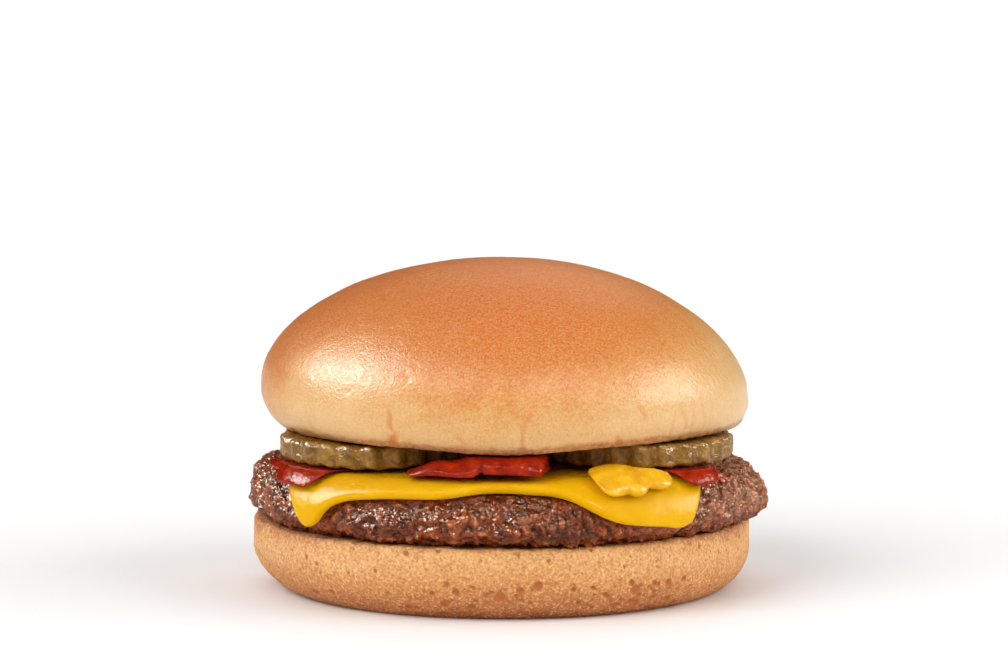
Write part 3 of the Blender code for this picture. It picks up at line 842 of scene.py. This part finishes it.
class Finish:
    """A material being made. Most methods add a node and return what to plug in next.

    scatter is how much light scatters inside, and how far its colours go. sockets are the shader's own.
    """

    def __init__(self, name, scatter=None, **sockets):
        self.material = bpy.data.materials.new(name)
        self.material.use_nodes = True
        self.tree = self.material.node_tree
        self.shader = self.tree.nodes["Principled BSDF"]
        for socket, value in sockets.items():
            self.shader.inputs[socket.replace("_", " ")].default_value = value
        if scatter:
            self.shader.inputs["Subsurface Weight"].default_value = scatter[0]
            self.shader.inputs["Subsurface Radius"].default_value = scatter[1]
            self.shader.inputs["Subsurface Scale"].default_value = SCATTER_DEPTH
        self.place = self.tree.nodes.new("ShaderNodeTexCoord").outputs["Object"]

    def add(self, kind, inputs=None, **settings):
        made = self.tree.nodes.new(kind)
        for key, value in settings.items():
            setattr(made, key, value)
        for key, value in (inputs or {}).items():
            if isinstance(value, bpy.types.NodeSocket):
                self.tree.links.new(value, made.inputs[key])
            elif value is not None:
                made.inputs[key].default_value = value
        return made

    def noise(self, size, detail=3.0, rough=0.55, twist=0.0):
        inputs = {"Vector": self.place, "Scale": 1.0 / size, "Detail": detail, "Roughness": rough}
        inputs["Distortion"] = twist
        return self.add("ShaderNodeTexNoise", inputs).outputs["Fac"]

    def cells(self, size):
        made = self.add("ShaderNodeTexVoronoi", {"Vector": self.place, "Scale": 1.0 / size})
        return made.outputs["Distance"]

    def attribute(self, name):
        return self.add("ShaderNodeAttribute", attribute_name=name).outputs["Fac"]

    def math(self, operation, a, b=None, c=None):
        return self.add("ShaderNodeMath", {0: a, 1: b, 2: c}, operation=operation).outputs[0]

    def range(self, value, low, high, to_low=0.0, to_high=1.0):
        inputs = {"Value": value, "From Min": low, "From Max": high, "To Min": to_low, "To Max": to_high}
        return self.add("ShaderNodeMapRange", inputs).outputs["Result"]

    def spread(self, noise, low, high):
        """Noise, which lies mostly between 0.3 and 0.7, as a value from low to high."""
        return self.range(noise, 0.3, 0.7, low, high)

    def ramp(self, value, stops):
        """stops are (place, colour), places from 0 to 1."""
        made = self.add("ShaderNodeValToRGB", {"Fac": value})
        band = made.color_ramp
        while len(band.elements) < len(stops):
            band.elements.new(0.5)
        for element, (place, _) in zip(band.elements, stops):
            element.position = place
        for element, (_, colour) in zip(band.elements, stops):
            element.color = colour
        return made.outputs["Color"]

    def blend(self, a, b, factor):
        made = self.add("ShaderNodeMix", data_type="RGBA")
        for key, value in ((0, factor), (6, a), (7, b)):
            if isinstance(value, bpy.types.NodeSocket):
                self.tree.links.new(value, made.inputs[key])
            else:
                made.inputs[key].default_value = value
        return made.outputs[2]

    def use(self, socket, value):
        self.tree.links.new(value, self.shader.inputs[socket])

    def relief(self, *layers):
        """Bump layers of (height from 0 to 1, distance in metres), one after the other."""
        normal = None
        for height, distance in layers:
            normal = self.add(
                "ShaderNodeBump", {"Height": height, "Distance": distance, "Strength": 1.0, "Normal": normal}
            ).outputs["Normal"]
        self.use("Normal", normal)


def crown_finish():
    made = Finish("crown crust", Specular_IOR_Level=0.22, scatter=(0.08, BREAD_SCATTER))
    mottle = made.spread(made.noise(6.0 * MM, 4.0, 0.6), -0.09, 0.09)
    speckle = made.spread(made.noise(0.75 * MM, 3.0, 0.6, 0.4), -0.07, 0.07)
    # The browning level also carries painted light: paler crust at the right and under the left highlight
    level = made.math("ADD", made.math("ADD", made.attribute("brown"), mottle), speckle)
    shade = made.range(level, -0.4, 1.1)
    colour = made.ramp(shade, [
        (0.0, srgb(222, 180, 124)),
        (0.20, srgb(215, 162, 98)),
        (0.34, srgb(208, 134, 60)),
        (0.48, srgb(200, 112, 34)),
        (0.72, srgb(200, 104, 28)),
        (1.0, srgb(200, 102, 26)),
    ])
    fleck = made.range(made.noise(0.42 * MM, 2.0, 0.5), 0.38, 0.64)
    colour = made.blend(colour, made.blend(colour, srgb(255, 220, 170), 0.2), fleck)
    crease = made.math("MULTIPLY", made.attribute("crease"), 0.8)
    colour = made.blend(colour, srgb(222, 138, 72), crease)
    rough_edge = made.spread(made.noise(0.7 * MM, 3.0, 0.7), 0.35, 1.0)
    toast = made.math("MULTIPLY", made.attribute("toast"), rough_edge)
    colour = made.blend(colour, srgb(164, 92, 50), toast)
    made.use("Base Color", colour)
    made.use("Roughness", made.spread(made.noise(3.0 * MM, 3.0), 0.29, 0.37))
    made.relief(
        (made.noise(0.95 * MM, 3.0, 0.6, 0.6), 0.17 * MM),
        (made.noise(0.45 * MM, 2.0, 0.5), 0.08 * MM),
    )
    return made.material


def heel_finish():
    made = Finish("heel crust", Specular_IOR_Level=0.15, scatter=(0.08, BREAD_SCATTER))
    height = made.add("ShaderNodeSeparateXYZ", {0: made.place}).outputs["Z"]
    wander = made.spread(made.noise(7.0 * MM, 3.0), -1.6 * MM, 1.6 * MM)
    darker = made.range(made.attribute("front"), 0.0, 1.0, 1.2 * MM, -1.2 * MM)
    level = made.range(made.math("ADD", made.math("ADD", height, wander), darker), 0.0, 15.0 * MM)
    colour = made.ramp(level, [
        (0.0, srgb(166, 98, 58)),
        (0.14, srgb(190, 122, 76)),
        (0.42, srgb(212, 146, 88)),
        (0.78, srgb(230, 174, 112)),
        (0.94, srgb(222, 160, 98)),
        (1.0, srgb(196, 126, 74)),
    ])
    grain = made.noise(0.55 * MM, 2.0, 0.6, 0.3)
    colour = made.blend(colour, srgb(166, 88, 42), made.range(grain, 0.50, 0.30, 0.0, 0.55))
    colour = made.blend(colour, srgb(248, 202, 142), made.range(grain, 0.52, 0.72, 0.0, 0.75))
    # Painted shade: the pores are painted darker the deeper they are
    pit = made.range(made.attribute("relief"), -0.07, -0.28)
    colour = made.blend(colour, srgb(184, 104, 60), made.math("MULTIPLY", pit, 0.85))
    made.use("Base Color", colour)
    made.use("Roughness", made.spread(grain, 0.55, 0.72))
    made.relief((made.noise(0.75 * MM, 3.0, 0.65), 0.35 * MM), (made.noise(0.35 * MM, 2.0, 0.5), 0.15 * MM))
    return made.material


def patty_finish():
    made = Finish("seared beef", Specular_IOR_Level=0.4, Specular_Tint=(1.0, 0.86, 0.70, 1.0))
    relief = made.attribute("relief")
    blotch = made.spread(made.noise(1.3 * MM, 3.0, 0.6), -0.35, 0.35)
    # Painted shade and light: the meat is darker in its creases and lighter on its lumps, with random
    # blotches
    shade = made.range(made.math("ADD", relief, blotch), -1.2, 1.2)
    colour = made.ramp(shade, [
        (0.0, srgb(62, 22, 8)),
        (0.28, srgb(104, 44, 18)),
        (0.50, srgb(130, 60, 26)),
        (0.76, srgb(160, 82, 42)),
        (1.0, srgb(190, 116, 72)),
    ])
    red = made.range(made.noise(4.0 * MM, 3.0, 0.6), 0.48, 0.68, 0.0, 0.5)
    colour = made.blend(colour, srgb(150, 58, 22), red)
    # Painted sheen: paler patches on the patty's ends, where the side lights fall
    fat = made.range(made.noise(1.5 * MM, 3.0, 0.6), 0.36, 0.62, 0.1, 0.7)
    colour = made.blend(colour, srgb(204, 144, 108), made.math("MULTIPLY", made.attribute("pale"), fat))
    made.use("Base Color", colour)
    wet = made.noise(2.6 * MM, 3.0, 0.6)
    made.use("Roughness", made.range(wet, 0.42, 0.62, 0.12, 0.36))
    made.relief((made.noise(1.6 * MM, 1.0, 0.5, 0.4), 0.8 * MM), (made.noise(0.8 * MM, 1.0, 0.5), 0.45 * MM))
    return made.material


def cheese_finish():
    made = Finish("melted cheese", Specular_IOR_Level=0.07, scatter=(0.2, YELLOW_SCATTER))
    tint = made.noise(8.0 * MM, 3.0)
    colour = made.ramp(tint, [
        (0.3, srgb(220, 160, 3)),
        (0.55, srgb(226, 170, 6)),
        (0.75, srgb(232, 182, 22)),
    ])
    made.use("Base Color", colour)
    made.use("Roughness", made.spread(made.noise(5.0 * MM, 3.0), 0.2, 0.34))
    made.relief((made.noise(3.0 * MM, 2.0), 0.16 * MM), (made.noise(0.7 * MM, 2.0), 0.02 * MM))
    return made.material


def ketchup_finish():
    made = Finish("ketchup", Specular_IOR_Level=0.1)
    tint = made.noise(2.2 * MM, 4.0, 0.6)
    colour = made.ramp(tint, [
        (0.3, srgb(120, 18, 4)),
        (0.5, srgb(148, 30, 7)),
        (0.72, srgb(176, 50, 14)),
    ])
    made.use("Base Color", colour)
    made.use("Roughness", made.spread(made.noise(1.5 * MM, 3.0), 0.14, 0.24))
    made.relief((made.noise(1.6 * MM, 3.0), 0.25 * MM), (made.noise(0.5 * MM, 2.0), 0.05 * MM))
    return made.material


def mustard_finish():
    made = Finish("mustard", Specular_IOR_Level=0.25, scatter=(0.15, YELLOW_SCATTER))
    tint = made.noise(3.0 * MM, 4.0, 0.6)
    colour = made.ramp(tint, [
        (0.3, srgb(214, 150, 6)),
        (0.5, srgb(226, 168, 10)),
        (0.72, srgb(238, 188, 30)),
    ])
    speck = made.range(made.cells(0.8 * MM), 0.14, 0.07, 0.0, 0.3)
    colour = made.blend(colour, srgb(200, 130, 16), speck)
    made.use("Base Color", colour)
    made.use("Roughness", made.spread(made.noise(1.5 * MM, 3.0), 0.2, 0.34))
    made.relief((made.noise(2.0 * MM, 2.0), 0.3 * MM), (made.noise(0.6 * MM, 2.0), 0.05 * MM))
    return made.material


def pickle_finish():
    made = Finish("pickle", Specular_IOR_Level=0.4, scatter=(0.1, PICKLE_SCATTER))
    tint = made.noise(2.4 * MM, 4.0, 0.65, 0.5)
    colour = made.ramp(tint, [
        (0.28, srgb(94, 61, 12)),
        (0.45, srgb(126, 86, 19)),
        (0.60, srgb(157, 114, 37)),
        (0.78, srgb(196, 157, 92)),
    ])
    made.use("Base Color", colour)
    made.use("Roughness", made.spread(made.noise(1.2 * MM, 3.0), 0.12, 0.34))
    made.relief((made.noise(1.6 * MM, 3.0, 0.6, 0.5), 0.5 * MM), (made.noise(0.5 * MM, 2.0), 0.08 * MM))
    return made.material


def floor_finish():
    made = Finish("pale floor", Specular_IOR_Level=0.1, Roughness=0.8)
    patches = made.noise(0.25, 2.0)
    colour = made.ramp(patches, [
        (0.3, (0.93, 0.93, 0.93, 1.0)),
        (0.7, (0.95, 0.95, 0.95, 1.0)),
    ])
    made.use("Base Color", colour)
    return made.material


# Floor, light and camera


def floor():
    half = FLOOR_HALF_WIDTH
    corners = [(-half, -half, 0.0), (half, -half, 0.0), (half, half, 0.0), (-half, half, 0.0)]
    obj = from_mesh_data("floor", corners, [(0, 1, 2, 3)])
    obj.data.materials.append(floor_finish())


def sun(name, direction, strength, spread, colour, gloss):
    """A soft round light in that direction. A gloss one shows only as a highlight, the others never do."""
    data = bpy.data.lights.new(name, "SUN")
    data.energy = strength
    data.color = colour
    data.angle = math.radians(spread)
    obj = bpy.data.objects.new(name, data)
    obj.rotation_mode = "QUATERNION"
    obj.rotation_quaternion = Vector(direction).to_track_quat("Z", "Y")
    obj.visible_diffuse = not gloss
    obj.visible_glossy = gloss
    bpy.context.scene.collection.objects.link(obj)


def light():
    world = bpy.data.worlds.new("studio")
    bpy.context.scene.world = world
    world.use_nodes = True
    background = world.node_tree.nodes["Background"]
    background.inputs["Color"].default_value = (*WHITE, 1.0)
    background.inputs["Strength"].default_value = WORLD_STRENGTH
    world.cycles_visibility.glossy = False
    for values in SUNS:
        sun(*values)


def camera():
    """Looks from the front and a little above, through a long lens, as the photograph does."""
    data = bpy.data.cameras.new("camera")
    data.sensor_width = SENSOR_WIDTH_MM
    data.lens = FOCAL_LENGTH_PIXELS / IMAGE_WIDTH_PIXELS * SENSOR_WIDTH_MM
    data.clip_start = 0.01
    obj = bpy.data.objects.new("camera", data)
    rise = math.radians(CAMERA_RISE_DEGREES)
    away, above = CAMERA_DISTANCE * math.cos(rise), CAMERA_DISTANCE * math.sin(rise)
    obj.location = (CAMERA_PIVOT_X, -away, CAMERA_PIVOT_Z + above)
    obj.rotation_euler = (math.radians(90.0 - CAMERA_DIP_DEGREES), 0.0, 0.0)
    bpy.context.scene.collection.objects.link(obj)
    bpy.context.scene.camera = obj
    view = bpy.context.scene.view_settings
    view.view_transform = "Standard"
    view.look = "None"


def dress(piece, material, node=None):
    """Gives the piece its material and its place in the frame. One with a node stands for that CAD solid."""
    piece.data.materials.append(material)
    piece.data.shade_smooth()
    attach(piece, "root")
    if node:
        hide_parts(node)


def main():
    dress(heel(), heel_finish(), "heel")
    dress(patty(), patty_finish(), "patty")
    dress(cheese(), cheese_finish(), "cheese")
    dress(ketchup(), ketchup_finish(), "ketchup")
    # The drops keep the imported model's own plain ketchup, which is paler than the layer's finish
    dress(sauce_drops(), bpy.data.materials["ketchup"])
    dress(mustard(), mustard_finish(), "mustard")
    pickle_skin = pickle_finish()
    for node, (x, y, radius) in PICKLES.items():
        dress(pickle(node + "_slice", x, y, radius), pickle_skin, node)
    dress(crown(), crown_finish(), "crown")
    floor()
    light()
    camera()


main()
